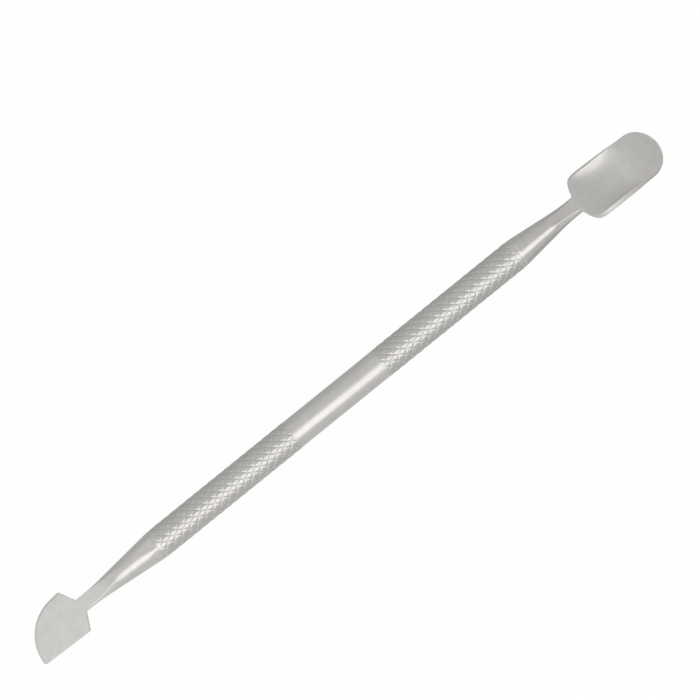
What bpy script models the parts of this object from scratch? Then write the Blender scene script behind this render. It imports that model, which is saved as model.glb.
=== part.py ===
"""A double-ended cuticle pusher: a knurled hollow handle with a spoon tip in one end and a
quarter-round scraper blade in the other, each held by a brazed spigot.

The tool lies along X, with the spoon towards +X and its hollow facing +Z. The origin is on the
handle's axis, halfway along the tool. Dimensions are in millimetres, and MM turns them into metres.
"""

import math

import bmesh
import bpy
from mathutils import Matrix

MM = 0.001

# Driving dimensions
OVERALL_LENGTH = 140.0
HANDLE_DIAMETER = 5.5
SPOON_REACH = 31.2
BLADE_REACH = 28.3
SPOON_WIDTH = 9.75
SPOON_LENGTH = 17.6
BLADE_EDGE_RADIUS = 7.92
JOINT_GAP = 0.3

# Handle tube
WALL = 0.6
END_CHAMFER = 0.15
KNURL_STARTS = 12
KNURL_HALF_PITCH = 0.863
KNURL_ROWS = 35
KNURL_MARGIN = 0.3
KNURL_CREST = 0.08
KNURL_ROOT = 0.07

# Spigots and the braze rings that sit in their grooves
SPIGOT_LENGTH = 9.0
SPIGOT_LEAD = 0.5
GROOVE_FROM_SHOULDER = 4.0
GROOVE_WIDTH = 1.6
GROOVE_DEPTH = 0.8

# Necks: each cone's length, and its radius where it ends
SPOON_NECK_RADIUS = 1.6
SPOON_CONE_LENGTH = 10.2
BLADE_NECK_RADIUS = 1.38
BLADE_CONE_LENGTH = 13.6
CONE_BLEND = 1.6

# Spoon bowl
SPOON_SHEET = 0.72
SPOON_TIP_SHEET = 0.45
SPOON_TIP_REACH = 4.6
SPOON_TIP_BLUNTNESS = 2.25
BOWL_CURVE = 2.6
RIM_LEAN = 0.58

# Blade plate
BLADE_THICKNESS = 0.9
BLADE_FOOT_DROP = 4.18
BLADE_FOOT_SLOPE = 0.27
BLADE_CENTRE_DROP = 3.53
BLADE_HEEL_HEIGHT = 4.56
BLADE_HEEL_X = -60.3
BLADE_NECK_X = -58.72
BLADE_SKEW = 0.32
EDGE_LAND = 0.5
EDGE_BEVEL = 0.45

# Facets of the round surfaces
COLUMNS = 2 * KNURL_STARTS
SHANK_STEPS = 36
BOWL_STEPS = 10
FILLET_STEPS = 5
EDGE_STEPS = 22

HANDLE_RADIUS = HANDLE_DIAMETER / 2
BORE_RADIUS = HANDLE_RADIUS - WALL
SPIGOT_RADIUS = BORE_RADIUS - JOINT_GAP
SPOON_TIP_X = OVERALL_LENGTH / 2
BLADE_TIP_X = -OVERALL_LENGTH / 2
BLADE_CENTRE_X = BLADE_TIP_X + 0.16 + BLADE_EDGE_RADIUS
TUBE_SPOON_END = SPOON_TIP_X - SPOON_REACH
TUBE_BLADE_END = BLADE_TIP_X + BLADE_REACH
KNURL_LENGTH = KNURL_ROWS * KNURL_HALF_PITCH
KNURL_ZONES = (
    TUBE_BLADE_END + KNURL_MARGIN,
    TUBE_SPOON_END - KNURL_MARGIN - KNURL_LENGTH,
)


def clear_scene():
    """Removes whatever the file opened with."""
    for obj in list(bpy.data.objects):
        bpy.data.objects.remove(obj, do_unlink=True)


def new_collection(name):
    collection = bpy.data.collections.new(name)
    bpy.context.scene.collection.children.link(collection)
    return collection


def metal(name, color, roughness):
    """A metal surface."""
    made = bpy.data.materials.new(name)
    made.use_nodes = True
    shader = made.node_tree.nodes["Principled BSDF"]
    shader.inputs["Base Color"].default_value = (*color, 1.0)
    shader.inputs["Metallic"].default_value = 1.0
    shader.inputs["Roughness"].default_value = roughness
    return made


def add_object(name, data, collection):
    obj = bpy.data.objects.new(name, data)
    collection.objects.link(obj)
    return obj


def as_mesh(obj):
    """Replaces an object by a mesh object of its evaluated shape, with loose caps welded."""
    bpy.context.view_layer.update()
    evaluated = obj.evaluated_get(bpy.context.evaluated_depsgraph_get())
    mesh = bpy.data.meshes.new_from_object(evaluated)
    mesh.transform(obj.matrix_world)
    name = obj.name
    collection = obj.users_collection[0]
    bpy.data.objects.remove(obj, do_unlink=True)
    bm = bmesh.new()
    bm.from_mesh(mesh)
    bmesh.ops.remove_doubles(bm, verts=bm.verts, dist=0.002 * MM)
    bmesh.ops.recalc_face_normals(bm, faces=bm.faces)
    bm.to_mesh(mesh)
    bm.free()
    return add_object(name, mesh, collection)


def turned(name, profile, steps, collection, closed=False):
    """A profile of (x along the tool, radius) points, turned about the X axis."""
    bm = bmesh.new()
    points = [bm.verts.new((radius * MM, 0, x * MM)) for x, radius in profile]
    ends = points[1:] + points[:1] if closed else points[1:]
    for start, end in zip(points, ends):
        bm.edges.new((start, end))
    mesh = bpy.data.meshes.new(name)
    bm.to_mesh(mesh)
    bm.free()
    obj = add_object(name, mesh, collection)
    obj.rotation_euler = (0, math.pi / 2, 0)
    screw = obj.modifiers.new("turn", "SCREW")
    screw.axis = "Z"
    screw.angle = 2 * math.pi
    screw.steps = screw.render_steps = steps
    screw.use_merge_vertices = True
    screw.merge_threshold = 0.002 * MM
    return obj


def extruded(name, outline, half_thickness, collection):
    """A closed outline of (x, y) points, filled and extruded by half_thickness each way."""
    curve = bpy.data.curves.new(name, "CURVE")
    curve.dimensions = "2D"
    curve.fill_mode = "BOTH"
    curve.extrude = half_thickness * MM
    spline = curve.splines.new("POLY")
    spline.points.add(len(outline) - 1)
    for point, (x, y) in zip(spline.points, outline):
        point.co = (x * MM, y * MM, 0, 1)
    spline.use_cyclic_u = True
    return add_object(name, curve, collection)


def boolean(target, tool, operation):
    """Cuts or joins the target with the tool, which then becomes a hidden helper."""
    modifier = target.modifiers.new(operation.lower(), "BOOLEAN")
    modifier.operation = operation
    modifier.object = tool
    tool.hide_render = True
    tool.display_type = "WIRE"


def finish(obj, material):
    """Gives the piece its material and smooth round faces."""
    obj.data.materials.clear()
    obj.data.materials.append(material)
    obj.data.shade_smooth()
    obj.data.set_sharp_from_angle(angle=math.radians(35))
    return obj


def filleted(corners):
    """An outline from (x, y, radius) corners, with each corner rounded by an arc of its radius."""
    outline = []
    for index, (x, y, radius) in enumerate(corners):
        before = corners[index - 1]
        after = corners[(index + 1) % len(corners)]
        if not radius:
            outline.append((x, y))
            continue
        to_before = math.atan2(before[1] - y, before[0] - x)
        to_after = math.atan2(after[1] - y, after[0] - x)
        half = math.remainder(to_after - to_before, 2 * math.pi) / 2
        middle = to_before + half
        centre_x = x + radius / abs(math.sin(half)) * math.cos(middle)
        centre_y = y + radius / abs(math.sin(half)) * math.sin(middle)
        sweep = math.copysign(math.pi - 2 * abs(half), half)
        first = middle + math.pi + sweep / 2
        for step in range(FILLET_STEPS + 1):
            angle = first - sweep * step / FILLET_STEPS
            outline.append((centre_x + radius * math.cos(angle), centre_y + radius * math.sin(angle)))
    return outline


def smooth_through(stations, x):
    """The value at x of a smooth curve through (x, value) stations, level at both ends."""
    if x <= stations[0][0]:
        return stations[0][1]
    if x >= stations[-1][0]:
        return stations[-1][1]
    slopes = [0.0]
    for (x0, v0), (_, _), (x2, v2) in zip(stations, stations[1:], stations[2:]):
        slopes.append((v2 - v0) / (x2 - x0))
    slopes.append(0.0)
    index = max(i for i, station in enumerate(stations) if station[0] <= x)
    (x0, v0), (x1, v1) = stations[index], stations[index + 1]
    span = x1 - x0
    t = (x - x0) / span
    return (
        v0 * (1 + 2 * t) * (1 - t) ** 2
        + slopes[index] * span * t * (1 - t) ** 2
        + v1 * t * t * (3 - 2 * t)
        + slopes[index + 1] * span * t * t * (t - 1)
    )


def handle_tube(collection, steel):
    """The tube: a chamfered outside with two knurled bands, and a through bore."""
    outside = [
        (TUBE_SPOON_END, HANDLE_RADIUS - END_CHAMFER),
        (TUBE_SPOON_END - END_CHAMFER, HANDLE_RADIUS),
    ]
    for start in reversed(KNURL_ZONES):
        for row in range(KNURL_ROWS, -1, -1):
            outside.append((start + row * KNURL_HALF_PITCH, HANDLE_RADIUS))
    outside.append((TUBE_BLADE_END + END_CHAMFER, HANDLE_RADIUS))
    outside.append((TUBE_BLADE_END, HANDLE_RADIUS - END_CHAMFER))
    bore = [(TUBE_BLADE_END, BORE_RADIUS), (TUBE_SPOON_END, BORE_RADIUS)]
    tube = as_mesh(turned("handle_tube", outside + bore, COLUMNS, collection, closed=True))
    bm = bmesh.new()
    bm.from_mesh(tube.data)
    for start in KNURL_ZONES:
        press_knurl(bm, start)
    bm.to_mesh(tube.data)
    bm.free()
    # Half a facet's turn puts a flat underneath, so that the tool lies still
    tube.data.transform(Matrix.Rotation(math.pi / COLUMNS, 4, "X"))
    return finish(tube, steel)


def press_knurl(bm, start):
    """Shapes one band into diamonds: every other grid point is a crest, and the rest are roots."""
    rows = {}
    for vert in bm.verts:
        row = round((vert.co.x / MM - start) / KNURL_HALF_PITCH)
        radius = math.hypot(vert.co.y, vert.co.z) / MM
        on_row = abs(start + row * KNURL_HALF_PITCH - vert.co.x / MM) < 0.01
        if on_row and 0 <= row <= KNURL_ROWS and radius > BORE_RADIUS + 0.1:
            column = round(math.atan2(vert.co.z, vert.co.y) / (2 * math.pi / COLUMNS))
            rows[vert] = (row, (row + column) % 2 == 0)
    for face in [f for f in bm.faces if all(v in rows for v in f.verts)]:
        roots = [v for v in face.verts if rows[v][1]]
        bmesh.utils.face_split(face, roots[0], roots[1])
    for vert, (row, is_root) in rows.items():
        if 0 < row < KNURL_ROWS:
            radius = HANDLE_RADIUS - KNURL_ROOT if is_root else HANDLE_RADIUS + KNURL_CREST
            scale = radius * MM / math.hypot(vert.co.y, vert.co.z)
            vert.co.y *= scale
            vert.co.z *= scale


def shank_profile(shoulder, outward, cone_length, neck_radius, end_x):
    """The turned outline of a tip's shank, from the spigot's inner end out along the neck.

    outward is +1 for the spoon end and -1 for the blade end."""
    spigot_end = shoulder - outward * SPIGOT_LENGTH
    groove_in = shoulder - outward * (GROOVE_FROM_SHOULDER + GROOVE_WIDTH / 2)
    groove_out = shoulder - outward * (GROOVE_FROM_SHOULDER - GROOVE_WIDTH / 2)
    points = [
        (spigot_end, 0.0),
        (spigot_end, SPIGOT_RADIUS - SPIGOT_LEAD),
        (spigot_end + outward * SPIGOT_LEAD, SPIGOT_RADIUS),
        (groove_in, SPIGOT_RADIUS),
        (groove_in, SPIGOT_RADIUS - GROOVE_DEPTH),
        (groove_out, SPIGOT_RADIUS - GROOVE_DEPTH),
        (groove_out, SPIGOT_RADIUS),
        (shoulder, SPIGOT_RADIUS),
        (shoulder, HANDLE_RADIUS - END_CHAMFER),
        (shoulder + outward * END_CHAMFER, HANDLE_RADIUS),
    ]
    cone_end = shoulder + outward * cone_length
    blend = (HANDLE_RADIUS - neck_radius) / cone_length * CONE_BLEND
    points.append((cone_end - outward * CONE_BLEND, neck_radius + blend))
    points.append((cone_end, neck_radius + blend / 3))
    points.append((cone_end + outward * CONE_BLEND, neck_radius))
    points.append((end_x, neck_radius))
    points.append((end_x, 0.0))
    return points if outward < 0 else points[::-1]


def braze_ring(name, shoulder, outward, collection, braze):
    """The ring of filler that sits in a spigot's groove and holds it in the bore."""
    middle = shoulder - outward * GROOVE_FROM_SHOULDER
    half = GROOVE_WIDTH / 2 - JOINT_GAP
    outer = BORE_RADIUS - JOINT_GAP
    inner = SPIGOT_RADIUS - GROOVE_DEPTH + JOINT_GAP
    profile = [
        (middle + half, outer),
        (middle - half, outer),
        (middle - half, inner),
        (middle + half, inner),
    ]
    return finish(as_mesh(turned(name, profile, COLUMNS, collection, closed=True)), braze)


def side_cutter(name, outline, collection):
    """A cutter with the given (x, z) outline, wide enough to pass through a neck along Y."""
    cutter = extruded(name, outline, 2 * HANDLE_DIAMETER, collection)
    cutter.rotation_euler = (math.pi / 2, 0, 0)
    return as_mesh(cutter)


def flatten_neck(shank, flats, helpers):
    """Cuts the forged flats: what lies above and below the (x, z_top, z_bottom) stations goes."""
    far = 2 * HANDLE_DIAMETER
    top = [(x, z_top) for x, z_top, _ in flats]
    bottom = [(x, z_bottom) for x, _, z_bottom in flats]
    for side, points, reach in (("top", top, far), ("bottom", bottom, -far)):
        outline = points + [(points[-1][0], reach), (points[0][0], reach)]
        cutter = side_cutter(f"{shank.name}_{side}_flat", outline, helpers)
        boolean(shank, cutter, "DIFFERENCE")


def loft(name, rings, collection):
    """A closed body skinned over rings of (x, y, z) points, with its two ends capped."""
    bm = bmesh.new()
    loops = []
    for ring in rings:
        loops.append([bm.verts.new((x * MM, y * MM, z * MM)) for x, y, z in ring])
    for first, second in zip(loops, loops[1:]):
        for index, vert in enumerate(first):
            bm.faces.new((vert, first[index - 1], second[index - 1], second[index]))
    bm.faces.new(loops[0])
    bm.faces.new(reversed(loops[-1]))
    bmesh.ops.recalc_face_normals(bm, faces=bm.faces)
    mesh = bpy.data.meshes.new(name)
    bm.to_mesh(mesh)
    bm.free()
    return add_object(name, mesh, collection)


def bowl_half_width(x):
    """Half of the bowl's width at x: a flared shoulder, near-parallel sides and a round tip."""
    base = SPOON_TIP_X - SPOON_LENGTH
    half = SPOON_WIDTH / 2
    tip_start = SPOON_TIP_X - SPOON_TIP_REACH
    if x > tip_start:
        share = (x - tip_start) / SPOON_TIP_REACH
        return (half - 0.22) * math.sqrt(1 - share**SPOON_TIP_BLUNTNESS)
    stations = [
        (base - 0.7, 1.10),
        (base - 0.1, 1.45),
        (base + 0.15, 2.10),
        (base + 0.4, 3.00),
        (base + 0.8, half - 1.05),
        (base + 1.2, half - 0.52),
        (base + 1.6, half - 0.26),
        (base + 2.4, half - 0.06),
        (base + 4.2, half),
        (base + 9.6, half - 0.07),
        (tip_start, half - 0.22),
    ]
    return smooth_through(stations, x)


def bowl_floor(x):
    """Height of the bowl's inside along its middle."""
    base = SPOON_TIP_X - SPOON_LENGTH
    stations = [
        (base - 0.7, 0.86),
        (base - 0.1, 0.92),
        (base + 0.8, 0.76),
        (base + 2.1, 0.34),
        (base + 3.6, -0.15),
        (base + 5.6, -0.50),
        (base + 7.6, -0.58),
        (base + 9.6, -0.48),
        (base + 11.6, -0.18),
        (base + 13.6, -0.20),
        (base + 15.6, -0.42),
        (SPOON_TIP_X, -0.72),
    ]
    return smooth_through(stations, x)


def bowl_rim(x):
    """Height of the bowl's inside along its rims."""
    base = SPOON_TIP_X - SPOON_LENGTH
    stations = [
        (base - 0.7, 0.86),
        (base - 0.1, 0.92),
        (base + 1.2, 0.80),
        (base + 3.0, 0.66),
        (base + 6.0, 0.46),
        (base + 8.6, 0.34),
        (base + 11.6, 0.08),
        (base + 13.6, -0.10),
        (base + 15.6, -0.35),
        (SPOON_TIP_X, -0.68),
    ]
    return smooth_through(stations, x)


def bowl_section(x):
    """The bowl's cross-section at x: its dished inside, then its underside back the other way.

    The rims' end faces lean outwards, so the inside is narrower than the underside."""
    base = SPOON_TIP_X - SPOON_LENGTH
    half = bowl_half_width(x)
    floor = bowl_floor(x)
    rim = bowl_rim(x)
    thinning = [(base + 8.0, SPOON_SHEET), (base + 14.0, 0.62), (SPOON_TIP_X, SPOON_TIP_SHEET)]
    sheet = smooth_through(thinning, x)
    leaning = [(base - 0.1, 0.05), (base + 1.6, RIM_LEAN), (base + 9.0, RIM_LEAN), (base + 15.0, 0.1)]
    lean = min(smooth_through(leaning, x), 0.35 * half)
    top = []
    bottom = []
    for step in range(BOWL_STEPS + 1):
        across = 2 * step / BOWL_STEPS - 1
        dish = abs(across) ** BOWL_CURVE
        height = floor + (rim - floor) * dish
        top.append((x, across * (half - lean), height))
        under = floor - sheet + (rim - floor + 0.2 * lean) * dish
        bottom.append((x, -across * half, under))
    return top + bottom


def bowl(helpers):
    """The spoon's bowl, from inside the neck out to the rounded tip."""
    base = SPOON_TIP_X - SPOON_LENGTH
    shoulder = (-0.7, -0.1, 0.1, 0.3, 0.5, 0.75, 1.0, 1.3, 1.6, 2.0, 2.5)
    sides = (3.3, 4.3, 5.5, 7.0, 8.5, 10.0, 11.5)
    stations = [base + offset for offset in shoulder + sides]
    for angle in (0, 14, 26, 37, 47, 56, 64, 71, 77, 82, 86):
        share = math.sin(math.radians(angle))
        stations.append(SPOON_TIP_X - SPOON_TIP_REACH * (1 - share))
    return loft("spoon_bowl", [bowl_section(x) for x in stations], helpers)


def spoon_tip(collection, helpers, steel):
    """The spoon's spigot, cone and flattened neck, joined to its bowl."""
    shoulder = TUBE_SPOON_END + JOINT_GAP
    base = SPOON_TIP_X - SPOON_LENGTH
    profile = shank_profile(shoulder, 1, SPOON_CONE_LENGTH, SPOON_NECK_RADIUS, base + 3.4)
    tip = as_mesh(turned("spoon_tip", profile, SHANK_STEPS, collection))
    flats = [
        (base - 6.4, 2.0, -2.0),
        (base - 4.4, 1.45, -1.45),
        (base - 2.4, 1.15, -1.15),
        (base - 0.6, 0.97, -0.97),
        (base + 0.2, 0.84, -0.94),
        (base + 0.8, 0.60, -0.92),
        (base + 3.8, -0.40, -0.70),
    ]
    flatten_neck(tip, flats, helpers)
    boolean(tip, bowl(helpers), "UNION")
    return finish(as_mesh(tip), steel)


def blade_outline(z, inset):
    """The blade at height z, seen from above: a quarter-round cutting edge over a straight foot.

    The inset draws the cutting edge in by that much."""
    half_neck = BLADE_NECK_RADIUS - 0.04
    radius = BLADE_EDGE_RADIUS - inset
    arc = []
    for step in range(EDGE_STEPS + 1):
        angle = math.radians(95.0 + 87.0 * step / EDGE_STEPS)
        x = BLADE_CENTRE_X + radius * math.cos(angle)
        y = -BLADE_CENTRE_DROP + radius * math.sin(angle)
        arc.append((x, y, 0))
    corners = [
        (BLADE_NECK_X + 1.7, -half_neck, 0),
        (BLADE_NECK_X + 1.7, half_neck, 0),
        (BLADE_NECK_X - BLADE_SKEW / 2, half_neck, 0.4),
        (BLADE_HEEL_X - BLADE_SKEW + 0.46 * inset, BLADE_HEEL_HEIGHT - inset, 0.35),
        *arc,
        (BLADE_CENTRE_X - radius, -BLADE_FOOT_DROP, 0.3),
        (BLADE_HEEL_X + BLADE_SKEW, -BLADE_FOOT_DROP - BLADE_FOOT_SLOPE, 0.25),
        (BLADE_NECK_X + BLADE_SKEW / 2, -half_neck, 0.4),
    ]
    return [(x, y, z) for x, y in filleted(corners)]


def blade_plate(helpers):
    """The blade's plate, with a ground bevel on the upper side of its cutting edge."""
    half = BLADE_THICKNESS / 2
    rings = [
        blade_outline(-half, 0),
        blade_outline(-half + EDGE_LAND, 0),
        blade_outline(half, EDGE_BEVEL),
    ]
    return loft("blade_plate", rings, helpers)


def blade_tip(collection, helpers, steel):
    """The blade's spigot, cone and flattened neck, joined to its plate."""
    shoulder = TUBE_BLADE_END - JOINT_GAP
    profile = shank_profile(shoulder, -1, BLADE_CONE_LENGTH, BLADE_NECK_RADIUS, BLADE_NECK_X + 0.1)
    tip = as_mesh(turned("blade_tip", profile, SHANK_STEPS, collection))
    flats = [
        (BLADE_NECK_X - 0.5, 0.34, -0.34),
        (BLADE_NECK_X + 0.9, 0.38, -0.38),
        (BLADE_NECK_X + 2.7, 0.58, -0.58),
        (BLADE_NECK_X + 4.3, 0.86, -0.86),
        (BLADE_NECK_X + 6.1, 1.31, -1.31),
        (BLADE_NECK_X + 8.5, 1.90, -1.90),
    ]
    flatten_neck(tip, flats, helpers)
    boolean(tip, blade_plate(helpers), "UNION")
    return finish(as_mesh(tip), steel)


def build():
    clear_scene()
    pusher = new_collection("cuticle_pusher")
    helpers = new_collection("cutters")
    satin = metal("satin_steel", (0.60, 0.59, 0.57), 0.38)
    ground = metal("ground_steel", (0.64, 0.63, 0.61), 0.42)
    braze = metal("silver_braze", (0.78, 0.74, 0.62), 0.30)
    handle_tube(pusher, satin)
    spoon_tip(pusher, helpers, satin)
    blade_tip(pusher, helpers, ground)
    braze_ring("spoon_braze_ring", TUBE_SPOON_END + JOINT_GAP, 1, pusher, braze)
    braze_ring("blade_braze_ring", TUBE_BLADE_END - JOINT_GAP, -1, pusher, braze)


build()
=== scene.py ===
"""Looks for the cuticle pusher: fine meshes for its three steel pieces and two braze rings, satin
steel materials, and a plain white studio seen from above the tool.

Sizes are in millimetres in the row's frame, and MM turns them into metres. Every piece is skinned
over rings: a ring is a closed loop of points, and rings follow each other along the tool.
"""

import math

import bmesh
import bpy
import numpy as np
from mathutils import Matrix, Vector


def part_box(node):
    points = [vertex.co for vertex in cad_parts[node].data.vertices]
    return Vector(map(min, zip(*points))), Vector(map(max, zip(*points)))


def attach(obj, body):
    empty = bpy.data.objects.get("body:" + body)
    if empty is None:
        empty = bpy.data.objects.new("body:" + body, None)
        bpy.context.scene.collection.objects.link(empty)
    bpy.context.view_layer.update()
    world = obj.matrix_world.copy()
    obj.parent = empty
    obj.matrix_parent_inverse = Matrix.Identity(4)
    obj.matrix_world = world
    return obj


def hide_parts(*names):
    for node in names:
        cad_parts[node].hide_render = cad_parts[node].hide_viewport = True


MM = 0.001

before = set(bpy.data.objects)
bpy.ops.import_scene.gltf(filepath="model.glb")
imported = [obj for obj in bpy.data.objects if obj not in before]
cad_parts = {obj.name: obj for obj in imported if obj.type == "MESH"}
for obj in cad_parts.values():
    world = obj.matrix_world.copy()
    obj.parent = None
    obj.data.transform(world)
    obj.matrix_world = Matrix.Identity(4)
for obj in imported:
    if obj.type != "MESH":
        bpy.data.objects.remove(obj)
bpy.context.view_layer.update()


def box_mm(node):
    """A CAD node's lowest and highest corner, in millimetres."""
    low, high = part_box(node)
    return np.array(low) / MM, np.array(high) / MM


tube_low, tube_high = box_mm("handle_tube")
spoon_low, spoon_high = box_mm("spoon_tip")
blade_low, blade_high = box_mm("blade_tip")

# Handle
HANDLE_RADIUS = float(blade_high[2])
BORE_RADIUS = HANDLE_RADIUS - 0.6
EDGE_ROUND = 0.02
SEAM = 0.01
TUBE_COLUMNS = 144

# Knurl: rows and columns of the mesh fall on the grooves' crossings
KNURL_STARTS = 12
KNURL_PITCH = 1.726
KNURL_LENGTH = 17.5 * KNURL_PITCH
KNURL_MARGIN = 0.3
KNURL_RUN_OUT = 0.4
KNURL_CREST = 0.05
KNURL_ROOT = 0.03
GROOVE_HALF_WIDTH = 0.21
ROWS_PER_PITCH = TUBE_COLUMNS // KNURL_STARTS

# Tips
TIP_COLUMNS = 160
SPIGOT_RADIUS = BORE_RADIUS - 0.3
SPIGOT_LEAD = 0.5
GROOVE_FROM_SHOULDER = 4.0
GROOVE_WIDTH = 1.6
GROOVE_RADIUS = SPIGOT_RADIUS - 0.8
SPOON_CONE = 10.2
SPOON_NECK_RADIUS = 1.6
BLADE_CONE = 13.6
BLADE_NECK_RADIUS = 1.38
SHOULDER_GAP = 0.3
SPOON_FLATS_X = 44.0
BLADE_FLATS_X = -48.0
CONE_BLEND = 0.24
NECK_BEVEL = 0.07
NECK_BEVEL_RUN_OUT = 1.2

# Spoon bowl
SPOON_TIP = float(spoon_high[0])
SPOON_HALF = float(spoon_high[1])
SPOON_BASE = SPOON_TIP - 17.6
SPOON_TIP_REACH = 4.6
SPOON_TIP_BLUNTNESS = 2.25
BOWL_CURVE = 2.6
RIM_LEAN = 0.58
FAR_RIM_LEAN = 0.42
SPOON_SHEET = 0.72
SPOON_TIP_SHEET = 0.45

# Blade plate
BLADE_TIP = float(blade_low[0])
BLADE_HALF_THICKNESS = 0.45
BLADE_RADIUS = 7.92
BLADE_CENTRE_X = BLADE_TIP + BLADE_RADIUS
BLADE_CENTRE_DROP = 3.53
BLADE_FOOT_DROP = 4.18
BLADE_FOOT_SLOPE = 0.27
BLADE_HEEL_HEIGHT = 4.56
BLADE_HEEL_X = BLADE_TIP + 9.54
BLADE_NECK_X = BLADE_TIP + 11.12
BLADE_SKEW = 0.32
BLADE_ROUND = 0.06
BLADE_BEVEL = 0.45


def soft_min(a, b, blend):
    """The smaller of a and b, with the corner between them rounded over the blend."""
    near = np.maximum(blend - np.abs(a - b), 0.0)
    return np.minimum(a, b) - near * near / (4 * blend)


def soft_max(a, b, blend):
    return -soft_min(-np.asarray(a), -np.asarray(b), blend)


def smooth_step(value):
    held = np.clip(value, 0.0, 1.0)
    return held * held * (3 - 2 * held)


def through(stations, x):
    """The value at x of a smooth curve through (x, value) stations, level at both ends."""
    places = np.array([place for place, _ in stations])
    values = np.array([value for _, value in stations])
    slopes = np.zeros(len(places))
    slopes[1:-1] = (values[2:] - values[:-2]) / (places[2:] - places[:-2])
    held = np.clip(x, places[0], places[-1])
    index = min(max(int(np.searchsorted(places, held, side="right")) - 1, 0), len(places) - 2)
    span = places[index + 1] - places[index]
    t = (held - places[index]) / span
    return float(
        values[index] * (1 + 2 * t) * (1 - t) ** 2
        + slopes[index] * span * t * (1 - t) ** 2
        + values[index + 1] * t * t * (3 - 2 * t)
        + slopes[index + 1] * span * t * t * (t - 1)
    )


def skin(name, rings, faces=None, looped=False):
    """A closed mesh object over rings of points, capped at both ends unless the rings loop."""
    rings = np.asarray(rings, float)
    count, columns = rings.shape[:2]
    points = rings.reshape(-1, 3) * MM
    if faces is None:
        faces = ring_faces(count, columns, looped)
    mesh = bpy.data.meshes.new(name)
    mesh.from_pydata(points.tolist(), [], faces)
    mesh.validate()
    bm = bmesh.new()
    bm.from_mesh(mesh)
    bmesh.ops.recalc_face_normals(bm, faces=bm.faces)
    bm.to_mesh(mesh)
    bm.free()
    mesh.shade_smooth()
    obj = bpy.data.objects.new(name, mesh)
    bpy.context.scene.collection.objects.link(obj)
    return obj


def ring_faces(count, columns, looped):
    """Quads between each ring and the next, and a face over each end unless the rings loop."""
    faces = []
    for ring in range(count if looped else count - 1):
        here = ring * columns
        there = (ring + 1) % count * columns
        for column in range(columns):
            beside = (column + 1) % columns
            faces.append((here + column, here + beside, there + beside, there + column))
    if not looped:
        faces.append(tuple(range(columns)))
        faces.append(tuple(range((count - 1) * columns, count * columns)))
    return faces


def round_ring(x, radius, columns):
    """A ring of the given radius, or of one radius for each column, across the X axis."""
    angle = 2 * math.pi * np.arange(columns) / columns
    ring = np.empty((columns, 3))
    ring[:, 0] = x
    ring[:, 1] = radius * np.cos(angle)
    ring[:, 2] = radius * np.sin(angle)
    return ring


# The handle


def groove_distances(start, x):
    """Each column's distance to the nearest groove of either hand, at x in a knurled band."""
    turn = np.arange(TUBE_COLUMNS) / TUBE_COLUMNS * KNURL_STARTS
    along = (x - start) / KNURL_PITCH
    around = 2 * math.pi * HANDLE_RADIUS / KNURL_STARTS
    spacing = 1 / math.hypot(1 / around, 1 / KNURL_PITCH)
    right = np.abs(turn + along - np.round(turn + along)) * spacing
    left = np.abs(turn - along - np.round(turn - along)) * spacing
    return right, left


def knurl_radius(start, x):
    """The radius of each column at x in a knurled band: raised diamonds between rounded grooves."""
    right, left = groove_distances(start, x)
    nearest = soft_min(right, left, 0.05)
    depth = 1 - soft_min(nearest / GROOVE_HALF_WIDTH, 1.0, 0.5)
    relief = KNURL_CREST - (KNURL_CREST + KNURL_ROOT) * np.clip(depth, 0.0, 1.0)
    from_end = min(x - start, start + KNURL_LENGTH - x)
    return HANDLE_RADIUS + relief * smooth_step(from_end / KNURL_RUN_OUT)


def knurl_faces(start, first_ring, xs):
    """Triangles over a knurled band, each split along the groove that runs nearest to it."""
    faces = []
    for row in range(len(xs) - 1):
        right, left = groove_distances(start, (xs[row] + xs[row + 1]) / 2)
        here = (first_ring + row) * TUBE_COLUMNS
        there = here + TUBE_COLUMNS
        for column in range(TUBE_COLUMNS):
            beside = (column + 1) % TUBE_COLUMNS
            a, b = here + column, here + beside
            c, d = there + beside, there + column
            on_right = right[column] + right[beside] < left[column] + left[beside]
            if on_right:
                faces += [(a, b, d), (b, c, d)]
            else:
                faces += [(a, b, c), (a, c, d)]
    return faces


def rounded_edge(face, outward):
    """(x, radius) places over the handle's outer edge, from an end face along the outside."""
    return [
        (face, HANDLE_RADIUS - EDGE_ROUND),
        (face + outward * EDGE_ROUND * 0.3, HANDLE_RADIUS - EDGE_ROUND * 0.3),
        (face + outward * EDGE_ROUND, HANDLE_RADIUS),
    ]


def handle_tube():
    """The tube, from its blade end to its spoon end along the outside and back along the bore."""
    low, high = float(tube_low[0]), float(tube_high[0])
    bands = (low + KNURL_MARGIN, high - KNURL_MARGIN - KNURL_LENGTH)
    rows = round(KNURL_LENGTH / KNURL_PITCH * ROWS_PER_PITCH)
    rings = [round_ring(x, radius, TUBE_COLUMNS) for x, radius in rounded_edge(low, 1)]
    knurled = {}
    for band, start in enumerate(bands):
        xs = np.linspace(start, start + KNURL_LENGTH, rows + 1)
        knurled[len(rings)] = (start, xs)
        rings += [round_ring(x, knurl_radius(start, x), TUBE_COLUMNS) for x in xs]
        if band == 0:
            middle = np.linspace(xs[-1], bands[1], 17)[1:-1]
            rings += [round_ring(x, HANDLE_RADIUS, TUBE_COLUMNS) for x in middle]
    for x, radius in reversed(rounded_edge(high, -1)):
        rings.append(round_ring(x, radius, TUBE_COLUMNS))
    rings.append(round_ring(high, BORE_RADIUS, TUBE_COLUMNS))
    rings.append(round_ring(low, BORE_RADIUS, TUBE_COLUMNS))
    quads = ring_faces(len(rings), TUBE_COLUMNS, looped=True)
    faces = []
    for ring in range(len(rings)):
        in_band = any(first <= ring < first + rows for first in knurled)
        if not in_band:
            faces += quads[ring * TUBE_COLUMNS : (ring + 1) * TUBE_COLUMNS]
    for first, (start, xs) in knurled.items():
        faces += knurl_faces(start, first, xs)
    return skin("handle_tube_fine", rings, faces)


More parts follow.
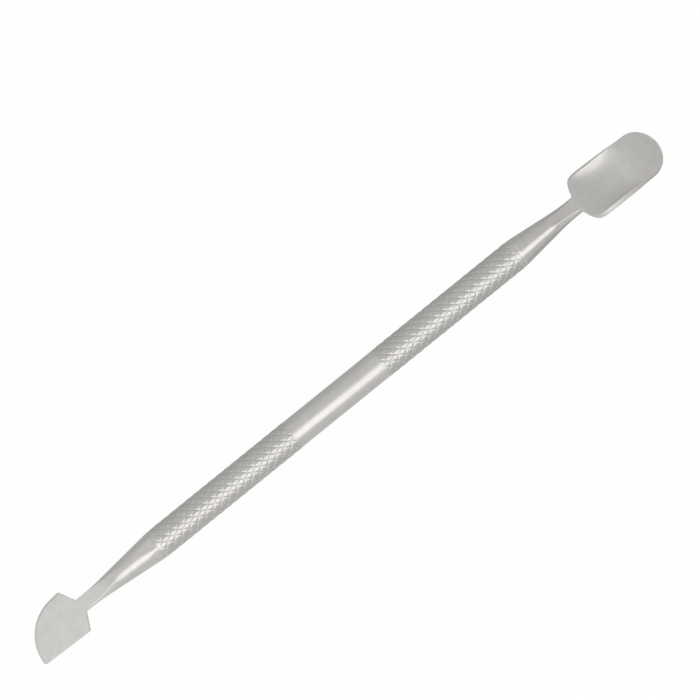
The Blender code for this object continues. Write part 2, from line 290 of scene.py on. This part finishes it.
# The tips' shanks


def spigot_rings(shoulder, outward):
    """Rings of a tip's spigot and shoulder, from its inner end to the shoulder's outer edge."""
    inner = spoon_low[0] if outward > 0 else blade_high[0]
    ring_middle = shoulder - outward * GROOVE_FROM_SHOULDER
    face = shoulder - outward * (SHOULDER_GAP - SEAM)
    places = [
        (inner, SPIGOT_RADIUS - SPIGOT_LEAD),
        (inner + outward * SPIGOT_LEAD, SPIGOT_RADIUS),
        (ring_middle - outward * GROOVE_WIDTH / 2, SPIGOT_RADIUS),
        (ring_middle - outward * GROOVE_WIDTH / 2, GROOVE_RADIUS),
        (ring_middle + outward * GROOVE_WIDTH / 2, GROOVE_RADIUS),
        (ring_middle + outward * GROOVE_WIDTH / 2, SPIGOT_RADIUS),
        (face, SPIGOT_RADIUS),
        *rounded_edge(face, outward),
    ]
    return [round_ring(x, radius, TIP_COLUMNS) for x, radius in places]


def shank_radius(along, cone, neck_radius):
    """The shank's radius at a distance from its shoulder: a cone that runs into a round neck."""
    slope = (HANDLE_RADIUS - neck_radius) / cone
    line = HANDLE_RADIUS - slope * max(along, 0.0)
    return float(soft_max(line, neck_radius, CONE_BLEND))


def neck_ring(x, radius, flat, to_end):
    """A round section with its top and bottom pressed flat at the given height.

    The edges of the flats are dressed to a bevel, which fades out where the neck ends."""
    ring = round_ring(x, radius, TIP_COLUMNS)
    height = ring[:, 2]
    ring[:, 2] = np.sign(height) * soft_min(np.abs(height), flat, 0.16)
    shown = smooth_step((radius - flat) / 0.4) * smooth_step(to_end / NECK_BEVEL_RUN_OUT)
    corner = (np.abs(ring[:, 1]) + np.abs(ring[:, 2])) / math.sqrt(2)
    cut = corner - soft_min(corner, radius * (1 - NECK_BEVEL * shown), 0.08)
    cut *= smooth_step(4 * shown)
    ring[:, 1] -= np.sign(ring[:, 1]) * cut / math.sqrt(2)
    ring[:, 2] -= np.sign(ring[:, 2]) * cut / math.sqrt(2)
    return ring


# The spoon


def bowl_half_width(x):
    """Half of the spoon's width: neck, flared shoulder, near-parallel sides and a round tip."""
    tip_start = SPOON_TIP - SPOON_TIP_REACH
    if x > tip_start:
        share = min((x - tip_start) / SPOON_TIP_REACH, 1.0)
        return (SPOON_HALF - 0.22) * math.sqrt(1 - share**SPOON_TIP_BLUNTNESS)
    stations = [
        (SPOON_BASE - 0.3, SPOON_NECK_RADIUS),
        (SPOON_BASE - 0.05, SPOON_NECK_RADIUS + 0.1),
        (SPOON_BASE + 0.15, 2.15),
        (SPOON_BASE + 0.4, 3.00),
        (SPOON_BASE + 0.8, SPOON_HALF - 1.05),
        (SPOON_BASE + 1.2, SPOON_HALF - 0.52),
        (SPOON_BASE + 1.6, SPOON_HALF - 0.26),
        (SPOON_BASE + 2.4, SPOON_HALF - 0.06),
        (SPOON_BASE + 4.2, SPOON_HALF),
        (SPOON_BASE + 9.6, SPOON_HALF - 0.07),
        (tip_start, SPOON_HALF - 0.22),
    ]
    return through(stations, x)


def spoon_flat(x):
    """Height of the spoon neck's flats, which run out where they meet the cone."""
    stations = [
        (SPOON_BASE - 9.5, 3.6),
        (SPOON_BASE - 7.9, 2.60),
        (SPOON_BASE - 6.0, 1.88),
        (SPOON_BASE - 4.4, 1.45),
        (SPOON_BASE - 2.4, 1.15),
        (SPOON_BASE - 0.4, 0.94),
        (SPOON_BASE + 1.6, 0.90),
    ]
    return through(stations, x)


def bowl_floor(x):
    """Height of the bowl's inside along its middle."""
    stations = [
        (SPOON_BASE - 2.4, 1.15),
        (SPOON_BASE - 0.4, 0.94),
        (SPOON_BASE + 0.8, 0.72),
        (SPOON_BASE + 2.1, 0.32),
        (SPOON_BASE + 3.6, -0.15),
        (SPOON_BASE + 5.6, -0.50),
        (SPOON_BASE + 7.6, -0.58),
        (SPOON_BASE + 9.6, -0.48),
        (SPOON_BASE + 11.6, -0.18),
        (SPOON_BASE + 13.6, -0.20),
        (SPOON_BASE + 15.6, -0.42),
        (SPOON_TIP, -0.72),
    ]
    return through(stations, x)


def bowl_rim(x):
    """Height of the bowl's inside along its rims."""
    stations = [
        (SPOON_BASE - 2.4, 1.15),
        (SPOON_BASE - 0.4, 0.94),
        (SPOON_BASE + 1.2, 0.80),
        (SPOON_BASE + 3.0, 0.66),
        (SPOON_BASE + 6.0, 0.46),
        (SPOON_BASE + 8.6, 0.34),
        (SPOON_BASE + 11.6, 0.08),
        (SPOON_BASE + 13.6, -0.10),
        (SPOON_BASE + 15.6, -0.35),
        (SPOON_TIP, -0.68),
    ]
    return through(stations, x)


def bowl_sheet(x):
    """Thickness of the bowl's sheet, which grows out of the neck and thins towards the tip."""
    stations = [
        (SPOON_BASE - 0.2, 2 * 0.93),
        (SPOON_BASE + 1.0, SPOON_SHEET),
        (SPOON_BASE + 8.0, SPOON_SHEET),
        (SPOON_BASE + 14.0, 0.62),
        (SPOON_TIP, SPOON_TIP_SHEET),
    ]
    return through(stations, x)


def bowl_lean(x):
    """How far the rims' end faces lean outwards, from the inside's edge to the underside's."""
    stations = [
        (SPOON_BASE - 0.2, 0.0),
        (SPOON_BASE + 1.6, RIM_LEAN),
        (SPOON_BASE + 9.0, RIM_LEAN),
        (SPOON_BASE + 15.0, 0.1),
        (SPOON_TIP, 0.05),
    ]
    return through(stations, x)


def with_ridge(x, across, height):
    """The underside's heights, with the neck running on as a ridge that fades out."""
    stations = [(SPOON_BASE - 0.4, 0.94), (SPOON_BASE + 1.6, 0.90), (SPOON_BASE + 3.6, 0.55)]
    ridge = -through(stations, x) + 2.2 * smooth_step((np.abs(across) - 0.9) / 1.6)
    fade = smooth_step((SPOON_BASE + 4.2 - x) / 0.8)
    return height + (soft_min(height, ridge, 0.35) - height) * fade


def bowl_ring(x):
    """A section of the spoon: a pressed round turning into a dished sheet with leaning rims.

    The sheet is laid out flat first, with rounded corners, and then bent to the dish."""
    angle = 2 * math.pi * np.arange(TIP_COLUMNS) / TIP_COLUMNS
    half = bowl_half_width(x)
    rim_share = np.where(np.cos(angle) > 0, FAR_RIM_LEAN / RIM_LEAN, 1.0)
    lean = min(bowl_lean(x), 0.3 * half) * rim_share
    sheet = bowl_sheet(x)
    tall = through([(SPOON_BASE - 0.3, half), (SPOON_BASE + 1.6, 3.0)], x)
    level = np.sign(np.sin(angle)) * soft_min(np.abs(tall * np.sin(angle)), sheet / 2, 0.08)
    rise = np.clip(level / sheet + 0.5, 0.0, 1.0)
    across = (half + 0.01) * np.cos(angle)
    across = np.sign(across) * soft_min(np.abs(across), half - lean * rise, 0.04)
    spread = np.abs(across) / (half - lean)
    dish = np.minimum(spread, 1.0) ** BOWL_CURVE + 0.8 * np.maximum(spread - 1.0, 0.0)
    sag = bowl_rim(x) - bowl_floor(x)
    height = bowl_floor(x) - sheet / 2 + sag * dish + level
    ring = np.empty((TIP_COLUMNS, 3))
    ring[:, 0] = x
    ring[:, 1] = across
    ring[:, 2] = np.where(np.sin(angle) < 0, with_ridge(x, across, height), height)
    return ring


def spoon_tip():
    """The spoon's spigot, cone, flattened neck and dished bowl, as one skin."""
    shoulder = float(tube_high[0]) + SHOULDER_GAP
    start = shoulder - SHOULDER_GAP + SEAM + EDGE_ROUND
    rings = spigot_rings(shoulder, 1)
    join = SPOON_BASE - 0.4
    cone_xs = np.linspace(start, SPOON_FLATS_X, 12)[1:]
    neck_xs = np.linspace(SPOON_FLATS_X, join, 34)[1:-1]
    for x in np.concatenate([cone_xs, neck_xs]):
        radius = shank_radius(x - shoulder, SPOON_CONE, SPOON_NECK_RADIUS)
        rings.append(neck_ring(x, radius, spoon_flat(x), join - x))
    shoulder_xs = np.linspace(join, SPOON_BASE + 2.4, 45)
    side_xs = np.linspace(SPOON_BASE + 2.4, SPOON_TIP - SPOON_TIP_REACH, 50)[1:]
    tip_angles = np.radians(np.linspace(0, 88.5, 40)[1:])
    tip_xs = SPOON_TIP - SPOON_TIP_REACH * (1 - np.sin(tip_angles))
    for x in np.concatenate([shoulder_xs, side_xs, tip_xs]):
        rings.append(bowl_ring(x))
    return skin("spoon_tip_fine", rings)


# The blade


def filleted(corners):
    """An outline from (x, y, radius, steps) corners, each rounded by an arc of its radius."""
    outline = []
    for index, (x, y, radius, steps) in enumerate(corners):
        before = corners[index - 1]
        after = corners[(index + 1) % len(corners)]
        if not radius:
            outline.append((x, y))
            continue
        to_before = math.atan2(before[1] - y, before[0] - x)
        to_after = math.atan2(after[1] - y, after[0] - x)
        half = math.remainder(to_after - to_before, 2 * math.pi) / 2
        middle = to_before + half
        reach = radius / abs(math.sin(half))
        centre_x = x + reach * math.cos(middle)
        centre_y = y + reach * math.sin(middle)
        sweep = math.copysign(math.pi - 2 * abs(half), half)
        for step in range(steps + 1):
            angle = middle + math.pi + sweep / 2 - sweep * step / steps
            outline.append((centre_x + radius * math.cos(angle), centre_y + radius * math.sin(angle)))
    return outline


def blade_outline(edge_inset):
    """The blade seen from above, with its cutting edge drawn in by the inset."""
    half_neck = BLADE_NECK_RADIUS - 0.04
    radius = BLADE_RADIUS - edge_inset
    arc = []
    for angle in np.radians(np.linspace(95.0, 182.0, 80)):
        x = BLADE_CENTRE_X + radius * math.cos(angle)
        arc.append((x, radius * math.sin(angle) - BLADE_CENTRE_DROP, 0, 0))
    corners = [
        (BLADE_NECK_X + 1.7, -half_neck, 0, 0),
        (BLADE_NECK_X + 1.7, half_neck, 0, 0),
        (BLADE_NECK_X - BLADE_SKEW / 2, half_neck, 0.4, 10),
        (BLADE_HEEL_X - BLADE_SKEW + 0.46 * edge_inset, BLADE_HEEL_HEIGHT - edge_inset, 0.35, 8),
        *arc,
        (BLADE_CENTRE_X - radius, -BLADE_FOOT_DROP, 0.3, 8),
        (BLADE_HEEL_X + BLADE_SKEW, -BLADE_FOOT_DROP - BLADE_FOOT_SLOPE, 0.25, 8),
        (BLADE_NECK_X + BLADE_SKEW / 2, -half_neck, 0.4, 10),
    ]
    return np.array(filleted(corners))


def drawn_in(outline, inset):
    """The outline moved inwards by the inset, square to itself."""
    ahead = np.roll(outline, -1, axis=0) - outline
    behind = outline - np.roll(outline, 1, axis=0)
    ahead /= np.linalg.norm(ahead, axis=1)[:, None]
    behind /= np.linalg.norm(behind, axis=1)[:, None]
    tangent = ahead + behind
    tangent /= np.linalg.norm(tangent, axis=1)[:, None]
    inwards = np.column_stack([-tangent[:, 1], tangent[:, 0]])
    return outline + inwards * inset


def blade_plate():
    """The plate: rounded edges all round, and a ground bevel over its cutting edge."""
    half = BLADE_HALF_THICKNESS
    turn = np.radians(np.linspace(90, 0, 5))
    layers = []
    for angle in turn:
        inset = BLADE_ROUND * (1 - math.cos(angle))
        layers.append((-half + BLADE_ROUND * (1 - math.sin(angle)), inset, 0.0))
    for height, edge in ((0.0, 0.0), (0.04, 0.012), (0.08, 0.05), (0.12, 0.10)):
        layers.append((height, 0.0, edge))
    for angle in turn[::-1]:
        inset = BLADE_ROUND * (1 - math.cos(angle))
        height = half - BLADE_ROUND * (1 - math.sin(angle))
        layers.append((height, inset, BLADE_BEVEL * (height - 0.04) / (half - 0.04)))
    rings = []
    for height, inset, edge in layers:
        outline = drawn_in(blade_outline(edge), inset)
        rings.append(np.column_stack([outline, np.full(len(outline), height)]))
    return skin("blade_plate", rings)


def blade_flat(x):
    """Height of the blade neck's flats, which run out where they meet the cone."""
    stations = [
        (BLADE_NECK_X - 0.3, 0.36),
        (BLADE_NECK_X + 0.5, 0.43),
        (BLADE_NECK_X + 1.5, 0.48),
        (BLADE_NECK_X + 2.9, 0.60),
        (BLADE_NECK_X + 4.3, 0.88),
        (BLADE_NECK_X + 6.1, 1.33),
        (BLADE_NECK_X + 7.9, 1.77),
        (BLADE_NECK_X + 10.5, 2.5),
    ]
    return through(stations, x)


def blade_tip():
    """The blade's spigot, cone and flattened neck, joined to its plate."""
    shoulder = float(tube_low[0]) - SHOULDER_GAP
    start = shoulder + SHOULDER_GAP - SEAM - EDGE_ROUND
    end = BLADE_NECK_X - 0.2
    rings = spigot_rings(shoulder, -1)
    cone_xs = np.linspace(start, BLADE_FLATS_X, 14)[1:]
    neck_xs = np.linspace(BLADE_FLATS_X, end, 56)[1:]
    for x in np.concatenate([cone_xs, neck_xs]):
        radius = shank_radius(shoulder - x, BLADE_CONE, BLADE_NECK_RADIUS)
        rings.append(neck_ring(x, radius, blade_flat(x), x - end))
    shank = skin("blade_tip_fine", rings)
    plate = blade_plate()
    join = shank.modifiers.new("join", "BOOLEAN")
    join.operation = "UNION"
    join.object = plate
    for piece in (shank, plate):
        piece.data.set_sharp_from_angle(angle=math.radians(35))
    even = shank.modifiers.new("even", "WEIGHTED_NORMAL")
    even.keep_sharp = True
    bpy.context.view_layer.update()
    evaluated = shank.evaluated_get(bpy.context.evaluated_depsgraph_get())
    joined = bpy.data.meshes.new_from_object(evaluated)
    shank.modifiers.clear()
    shank.data = joined
    bpy.data.objects.remove(plate, do_unlink=True)
    return shank


def braze_ring(node):
    """A ring of filler with rounded edges, in the place of its CAD node."""
    low, high = box_mm(node)
    outer = float(high[2])
    inner = outer - 0.5
    soft = 0.12
    places = []
    corners = ((high[0], outer), (low[0], outer), (low[0], inner), (high[0], inner))
    for index, (x, radius) in enumerate(corners):
        centre_x = x + (soft if x == low[0] else -soft)
        centre_r = radius + (soft if radius == inner else -soft)
        for step in range(5):
            angle = math.pi / 2 * (index + step / 4)
            places.append((centre_x + soft * math.cos(angle), centre_r + soft * math.sin(angle)))
    rings = [round_ring(x, radius, 64) for x, radius in places]
    return skin(node + "_fine", rings, looped=True)


# Materials

BLACK = (0.0, 0.0, 0.0, 1.0)
# Painted shade colour, mixed into the knurl's grooves.
GROOVE_SHADE_COLOR = (0.22, 0.21, 0.19, 1.0)
TUMBLED = (0.626, 0.617, 0.598)
FORGED = (0.622, 0.612, 0.592)
GROUND = (0.725, 0.719, 0.698)
MOTTLE = 0.06
MOTTLE_SCALE = 700.0
CLOUD_SCALE = 180.0
GRAIN_SCALE = 9000.0
GRAIN_DEPTH = 0.000004
RIPPLE_DEPTH = 0.00002
BAND_SHADE = 0.09
TURNED_LINES = (5200.0, 0.0, 0.0)
DRAWN_LINES = (300.0, 3500.0, 0.0)


class Nodes:
    """A short way to add and link the shader nodes of a material or a world."""

    def __init__(self, tree):
        self.tree = tree
        tree.nodes.clear()

    def add(self, kind, **settings):
        node = self.tree.nodes.new(kind)
        for key, value in settings.items():
            setattr(node, key, value)
        return node

    def put(self, value, socket):
        """Links a socket to a socket, or sets a socket's value."""
        if isinstance(value, bpy.types.NodeSocket):
            self.tree.links.new(value, socket)
        else:
            socket.default_value = value

    def noise(self, vector, scale, detail=2.0):
        node = self.add("ShaderNodeTexNoise")
        self.put(vector, node.inputs["Vector"])
        node.inputs["Scale"].default_value = scale
        node.inputs["Detail"].default_value = detail
        return node.outputs["Fac"]

    def stretch(self, vector, scale):
        node = self.add("ShaderNodeMapping")
        self.put(vector, node.inputs["Vector"])
        node.inputs["Scale"].default_value = scale
        return node.outputs["Vector"]

    def spread(self, value, low, high, to_low, to_high):
        """Maps low..high to to_low..to_high, and holds what is outside."""
        node = self.add("ShaderNodeMapRange")
        self.put(value, node.inputs["Value"])
        node.inputs["From Min"].default_value = low
        node.inputs["From Max"].default_value = high
        node.inputs["To Min"].default_value = to_low
        node.inputs["To Max"].default_value = to_high
        return node.outputs["Result"]

    def math(self, operation, first, second):
        node = self.add("ShaderNodeMath", operation=operation)
        self.put(first, node.inputs[0])
        self.put(second, node.inputs[1])
        return node.outputs[0]

    def mix_color(self, factor, first, second):
        node = self.add("ShaderNodeMix", data_type="RGBA")
        self.put(factor, node.inputs["Factor"])
        self.put(first, node.inputs["A"])
        self.put(second, node.inputs["B"])
        return node.outputs["Result"]

    def place(self):
        """The place on the piece, in metres in the row's frame."""
        return self.add("ShaderNodeTexCoord").outputs["Object"]

    def apart(self, vector):
        """The vector's X, Y and Z."""
        node = self.add("ShaderNodeSeparateXYZ")
        self.put(vector, node.inputs[0])
        return node.outputs["X"], node.outputs["Y"], node.outputs["Z"]

    def surface(self, shader):
        output = self.add("ShaderNodeOutputMaterial")
        self.put(shader.outputs["BSDF"], output.inputs["Surface"])

    def metal(self, tone, roughness, relief, depth):
        """Ends the material as a metal, whose relief of 0 to 1 is as deep as depth, in metres."""
        bump = self.add("ShaderNodeBump")
        bump.inputs["Strength"].default_value = 1.0
        bump.inputs["Distance"].default_value = depth
        self.put(relief, bump.inputs["Height"])
        shader = self.add("ShaderNodeBsdfPrincipled")
        shader.inputs["Metallic"].default_value = 1.0
        self.put(tone, shader.inputs["Base Color"])
        self.put(roughness, shader.inputs["Roughness"])
        self.put(bump.outputs["Normal"], shader.inputs["Normal"])
        self.surface(shader)


def new_material(name):
    """A material and its nodes, with none in it yet."""
    material = bpy.data.materials.new(name)
    material.use_nodes = True
    return material, Nodes(material.node_tree)


def steel(name, color, roughness, line_scale, line_depth, far=None, knurled=False):
    """Satin stainless steel: a fine blasted grain, tool lines, and uneven polish and tone.

    far is (from, to, color, roughness), where the finish changes on the way along the tool."""
    material, nodes = new_material(name)
    place = nodes.place()
    mottle = nodes.noise(place, MOTTLE_SCALE, 4.0)
    cloud = nodes.noise(place, CLOUD_SCALE, 2.0)
    grain = nodes.noise(place, GRAIN_SCALE, 2.0)
    lines = nodes.noise(nodes.stretch(place, line_scale), 1.0, 3.0)
    tone = (*color, 1.0)
    rough = nodes.spread(cloud, 0.3, 0.7, roughness - 0.03, roughness + 0.03)
    if far:
        start, end, far_color, far_roughness = far
        along = nodes.apart(place)[0]
        change = nodes.spread(along, start * MM, end * MM, 0.0, 1.0)
        tone = nodes.mix_color(change, tone, (*far_color, 1.0))
        rough = nodes.math("ADD", rough, nodes.math("MULTIPLY", change, far_roughness - roughness))
    tone = nodes.mix_color(nodes.spread(mottle, 0.35, 0.65, MOTTLE, 0.0), tone, BLACK)
    rough = nodes.math("ADD", rough, nodes.spread(grain, 0.3, 0.7, -0.03, 0.03))
    # On the knurl, painted shade darkens the bands and their grooves.
    if knurled:
        tone = band_painted_shade(nodes, place, tone)
        tone, rough = knurl_groove_shade_and_wear(nodes, place, tone, rough)
    relief = nodes.math("MULTIPLY", grain, 0.35)
    relief = nodes.math("ADD", relief, nodes.math("MULTIPLY", lines, line_depth))
    nodes.metal(tone, rough, relief, GRAIN_DEPTH)
    return material


def band_painted_shade(nodes, place, tone):
    """The tone, with painted shade that makes the knurled bands a little darker and fades out at the
    tube's ends.
    """
    middle = float(tube_low[0] + tube_high[0]) / 2
    far_end = float(tube_high[0]) - middle - KNURL_MARGIN
    near_end = far_end - KNURL_LENGTH
    along = nodes.apart(place)[0]
    from_middle = nodes.math("ABSOLUTE", nodes.math("SUBTRACT", along, middle * MM), 0.0)
    near, near_full = (near_end - 0.2) * MM, (near_end + 0.6) * MM
    # Painted shade over the knurled bands.
    in_band = nodes.spread(from_middle, near, near_full, 0.0, BAND_SHADE)
    past_end = nodes.spread(from_middle, (far_end - 1.2) * MM, far_end * MM, 0.0, BAND_SHADE)
    return nodes.mix_color(nodes.math("SUBTRACT", in_band, past_end), tone, BLACK)


def knurl_groove_shade_and_wear(nodes, place, tone, rough):
    """The tone and roughness, with painted shade darkening the knurl's grooves and a rubbed shine on its
    crests.
    """
    _, across, height = nodes.apart(place)
    square_y = nodes.math("MULTIPLY", across, across)
    square_z = nodes.math("MULTIPLY", height, height)
    radius = nodes.math("SQRT", nodes.math("ADD", square_y, square_z), 0.0)
    root = (HANDLE_RADIUS - KNURL_ROOT) * MM
    plain = (HANDLE_RADIUS - 0.01) * MM
    crest = (HANDLE_RADIUS + KNURL_CREST) * MM
    # Painted shade: this mask is full at the groove roots and clear at the plain surface. It darkens the
    # tone and also makes the grooves rougher.
    groove_shade_mask = nodes.spread(radius, root, plain, 1.0, 0.0)
    worn = nodes.spread(radius, plain, crest, 0.0, 0.10)
    tone = nodes.mix_color(nodes.math("MULTIPLY", groove_shade_mask, 0.25), tone, GROOVE_SHADE_COLOR)
    rough = nodes.math("ADD", rough, nodes.math("MULTIPLY", groove_shade_mask, 0.15))
    return tone, nodes.math("SUBTRACT", rough, worn)


def braze_metal():
    """Silver braze: pale yellowish metal with a softly rippled, slightly oxidised skin."""
    material, nodes = new_material("silver_braze")
    ripple = nodes.noise(nodes.place(), 1500.0, 3.0)
    oxidised = (0.62, 0.55, 0.40, 1.0)
    clean = (0.82, 0.78, 0.66, 1.0)
    tone = nodes.mix_color(nodes.spread(ripple, 0.35, 0.65, 0.0, 1.0), oxidised, clean)
    nodes.metal(tone, nodes.spread(ripple, 0.3, 0.7, 0.25, 0.45), ripple, RIPPLE_DEPTH)
    return material


# The studio

SKY_LEVEL = 0.83
SKY_COLOR = (1.0, 0.99, 0.975, 1.0)
FLOOR_GLOW = 0.96
FLOOR_REACH = 1500.0
FLOOR_GAP = 0.02
LIGHT_DISTANCE = 0.55
VIEW_WIDTH = 121.8
VIEW_TILT = math.radians(15.0)
VIEW_SLANT = math.radians(38.97)
VIEW_RIGHT = 1.113
VIEW_UP = 7.58
LENS = 120.0
SENSOR = 36.0


def white_floor():
    """A plain white floor under the tool, which glows enough to drown the tool's shadow."""
    material, nodes = new_material("white_floor")
    shader = nodes.add("ShaderNodeBsdfPrincipled")
    shader.inputs["Base Color"].default_value = (0.04, 0.04, 0.04, 1.0)
    shader.inputs["Roughness"].default_value = 1.0
    shader.inputs["Specular IOR Level"].default_value = 0.0
    shader.inputs["Emission Color"].default_value = (1.0, 1.0, 1.0, 1.0)
    shader.inputs["Emission Strength"].default_value = FLOOR_GLOW
    nodes.surface(shader)
    mesh = bpy.data.meshes.new("floor")
    height = (float(tube_low[2]) - FLOOR_GAP) * MM
    reach = FLOOR_REACH * MM
    corners = [(-reach, -reach), (reach, -reach), (reach, reach), (-reach, reach)]
    mesh.from_pydata([(x, y, height) for x, y in corners], [], [(0, 1, 2, 3)])
    mesh.materials.append(material)
    floor = bpy.data.objects.new("floor", mesh)
    bpy.context.scene.collection.objects.link(floor)
    floor.visible_glossy = False


def sky():
    """Even studio light from all round, dimmer behind the tool, past the spoon and low in front of it."""
    world = bpy.data.worlds.new("studio")
    bpy.context.scene.world = world
    world.use_nodes = True
    nodes = Nodes(world.node_tree)
    x, y, z = nodes.apart(nodes.add("ShaderNodeTexCoord").outputs["Generated"])
    behind = nodes.math("SUBTRACT", nodes.math("MULTIPLY", y, 0.9), nodes.math("MULTIPLY", z, 0.44))
    level = nodes.spread(behind, 0.15, 1.0, SKY_LEVEL, SKY_LEVEL * 0.74)
    past_spoon = nodes.spread(x, -0.02, 0.26, 1.0, 0.88)
    level = nodes.math("MULTIPLY", level, past_spoon)
    low_front = nodes.spread(nodes.math("ADD", y, z), -1.4, -1.06, 0.30, 0.0)
    low_front = nodes.math("MULTIPLY", low_front, nodes.spread(x, 0.0, 0.1, 0.0, 1.0))
    level = nodes.math("MULTIPLY", level, nodes.math("SUBTRACT", 1.0, low_front))
    lit = nodes.add("ShaderNodeBackground")
    nodes.put(SKY_COLOR, lit.inputs["Color"])
    nodes.put(level, lit.inputs["Strength"])
    output = nodes.add("ShaderNodeOutputWorld")
    nodes.put(lit.outputs[0], output.inputs["Surface"])


def soft_box(name, tilt, size, power, along=0.0):
    """A long soft light parallel to the tool, tilted from overhead towards -Y by the angle."""
    lamp = bpy.data.lights.new(name, "AREA")
    lamp.shape = "RECTANGLE"
    lamp.size, lamp.size_y = size
    lamp.energy = power
    lamp.color = (1.0, 0.995, 0.985)
    light = bpy.data.objects.new(name, lamp)
    bpy.context.scene.collection.objects.link(light)
    angle = math.radians(tilt)
    light.location = (along, -LIGHT_DISTANCE * math.sin(angle), LIGHT_DISTANCE * math.cos(angle))
    light.rotation_euler = (angle, 0.0, 0.0)
    light.visible_camera = False


def camera():
    """A long lens that looks down on the tool from its -Y side, with the tool lying aslant."""
    toward_camera = Vector((0.0, -math.sin(VIEW_TILT), math.cos(VIEW_TILT)))
    across = Vector((0.0, math.cos(VIEW_TILT), math.sin(VIEW_TILT)))
    along = Vector((1.0, 0.0, 0.0))
    right = along * math.cos(VIEW_SLANT) - across * math.sin(VIEW_SLANT)
    up = along * math.sin(VIEW_SLANT) + across * math.cos(VIEW_SLANT)
    target = (right * VIEW_RIGHT + up * VIEW_UP) * MM
    distance = VIEW_WIDTH * MM * LENS / SENSOR
    data = bpy.data.cameras.new("camera")
    data.lens = LENS
    data.sensor_width = SENSOR
    data.clip_start = 0.01
    data.clip_end = 20.0
    eye = bpy.data.objects.new("camera", data)
    bpy.context.scene.collection.objects.link(eye)
    turn = Matrix((right, up, toward_camera)).transposed().to_4x4()
    eye.matrix_world = Matrix.Translation(target + toward_camera * distance) @ turn
    bpy.context.scene.camera = eye


def dress(piece, node, material):
    """Puts a fine piece in its CAD node's place."""
    piece.data.materials.clear()
    piece.data.materials.append(material)
    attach(piece, "root")
    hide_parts(node)


def build():
    ground_from = (BLADE_NECK_X + 8.0, BLADE_NECK_X + 2.0, GROUND, 0.44)
    forged_from = (SPOON_BASE - 6.0, SPOON_BASE, FORGED, 0.37)
    handle = steel("handle_steel", TUMBLED, 0.34, TURNED_LINES, 0.5, knurled=True)
    spoon = steel("spoon_steel", FORGED, 0.28, DRAWN_LINES, 0.3, far=forged_from)
    blade = steel("blade_steel", TUMBLED, 0.34, DRAWN_LINES, 0.3, far=ground_from)
    braze = braze_metal()
    dress(handle_tube(), "handle_tube", handle)
    dress(spoon_tip(), "spoon_tip", spoon)
    dress(blade_tip(), "blade_tip", blade)
    for node in ("spoon_braze_ring", "blade_braze_ring"):
        dress(braze_ring(node), node, braze)
    white_floor()
    sky()
    soft_box("strip", 44.3, (0.9, 0.345), 0.81)
    soft_box("strip_edge", 20.0, (0.62, 0.14), 0.22, along=-0.22)
    camera()
    bpy.context.scene.view_settings.view_transform = "Standard"
    bpy.context.scene.view_settings.look = "None"


build()


def plain(bounds):
    return [[float(value) for value in corner] for corner in bounds]
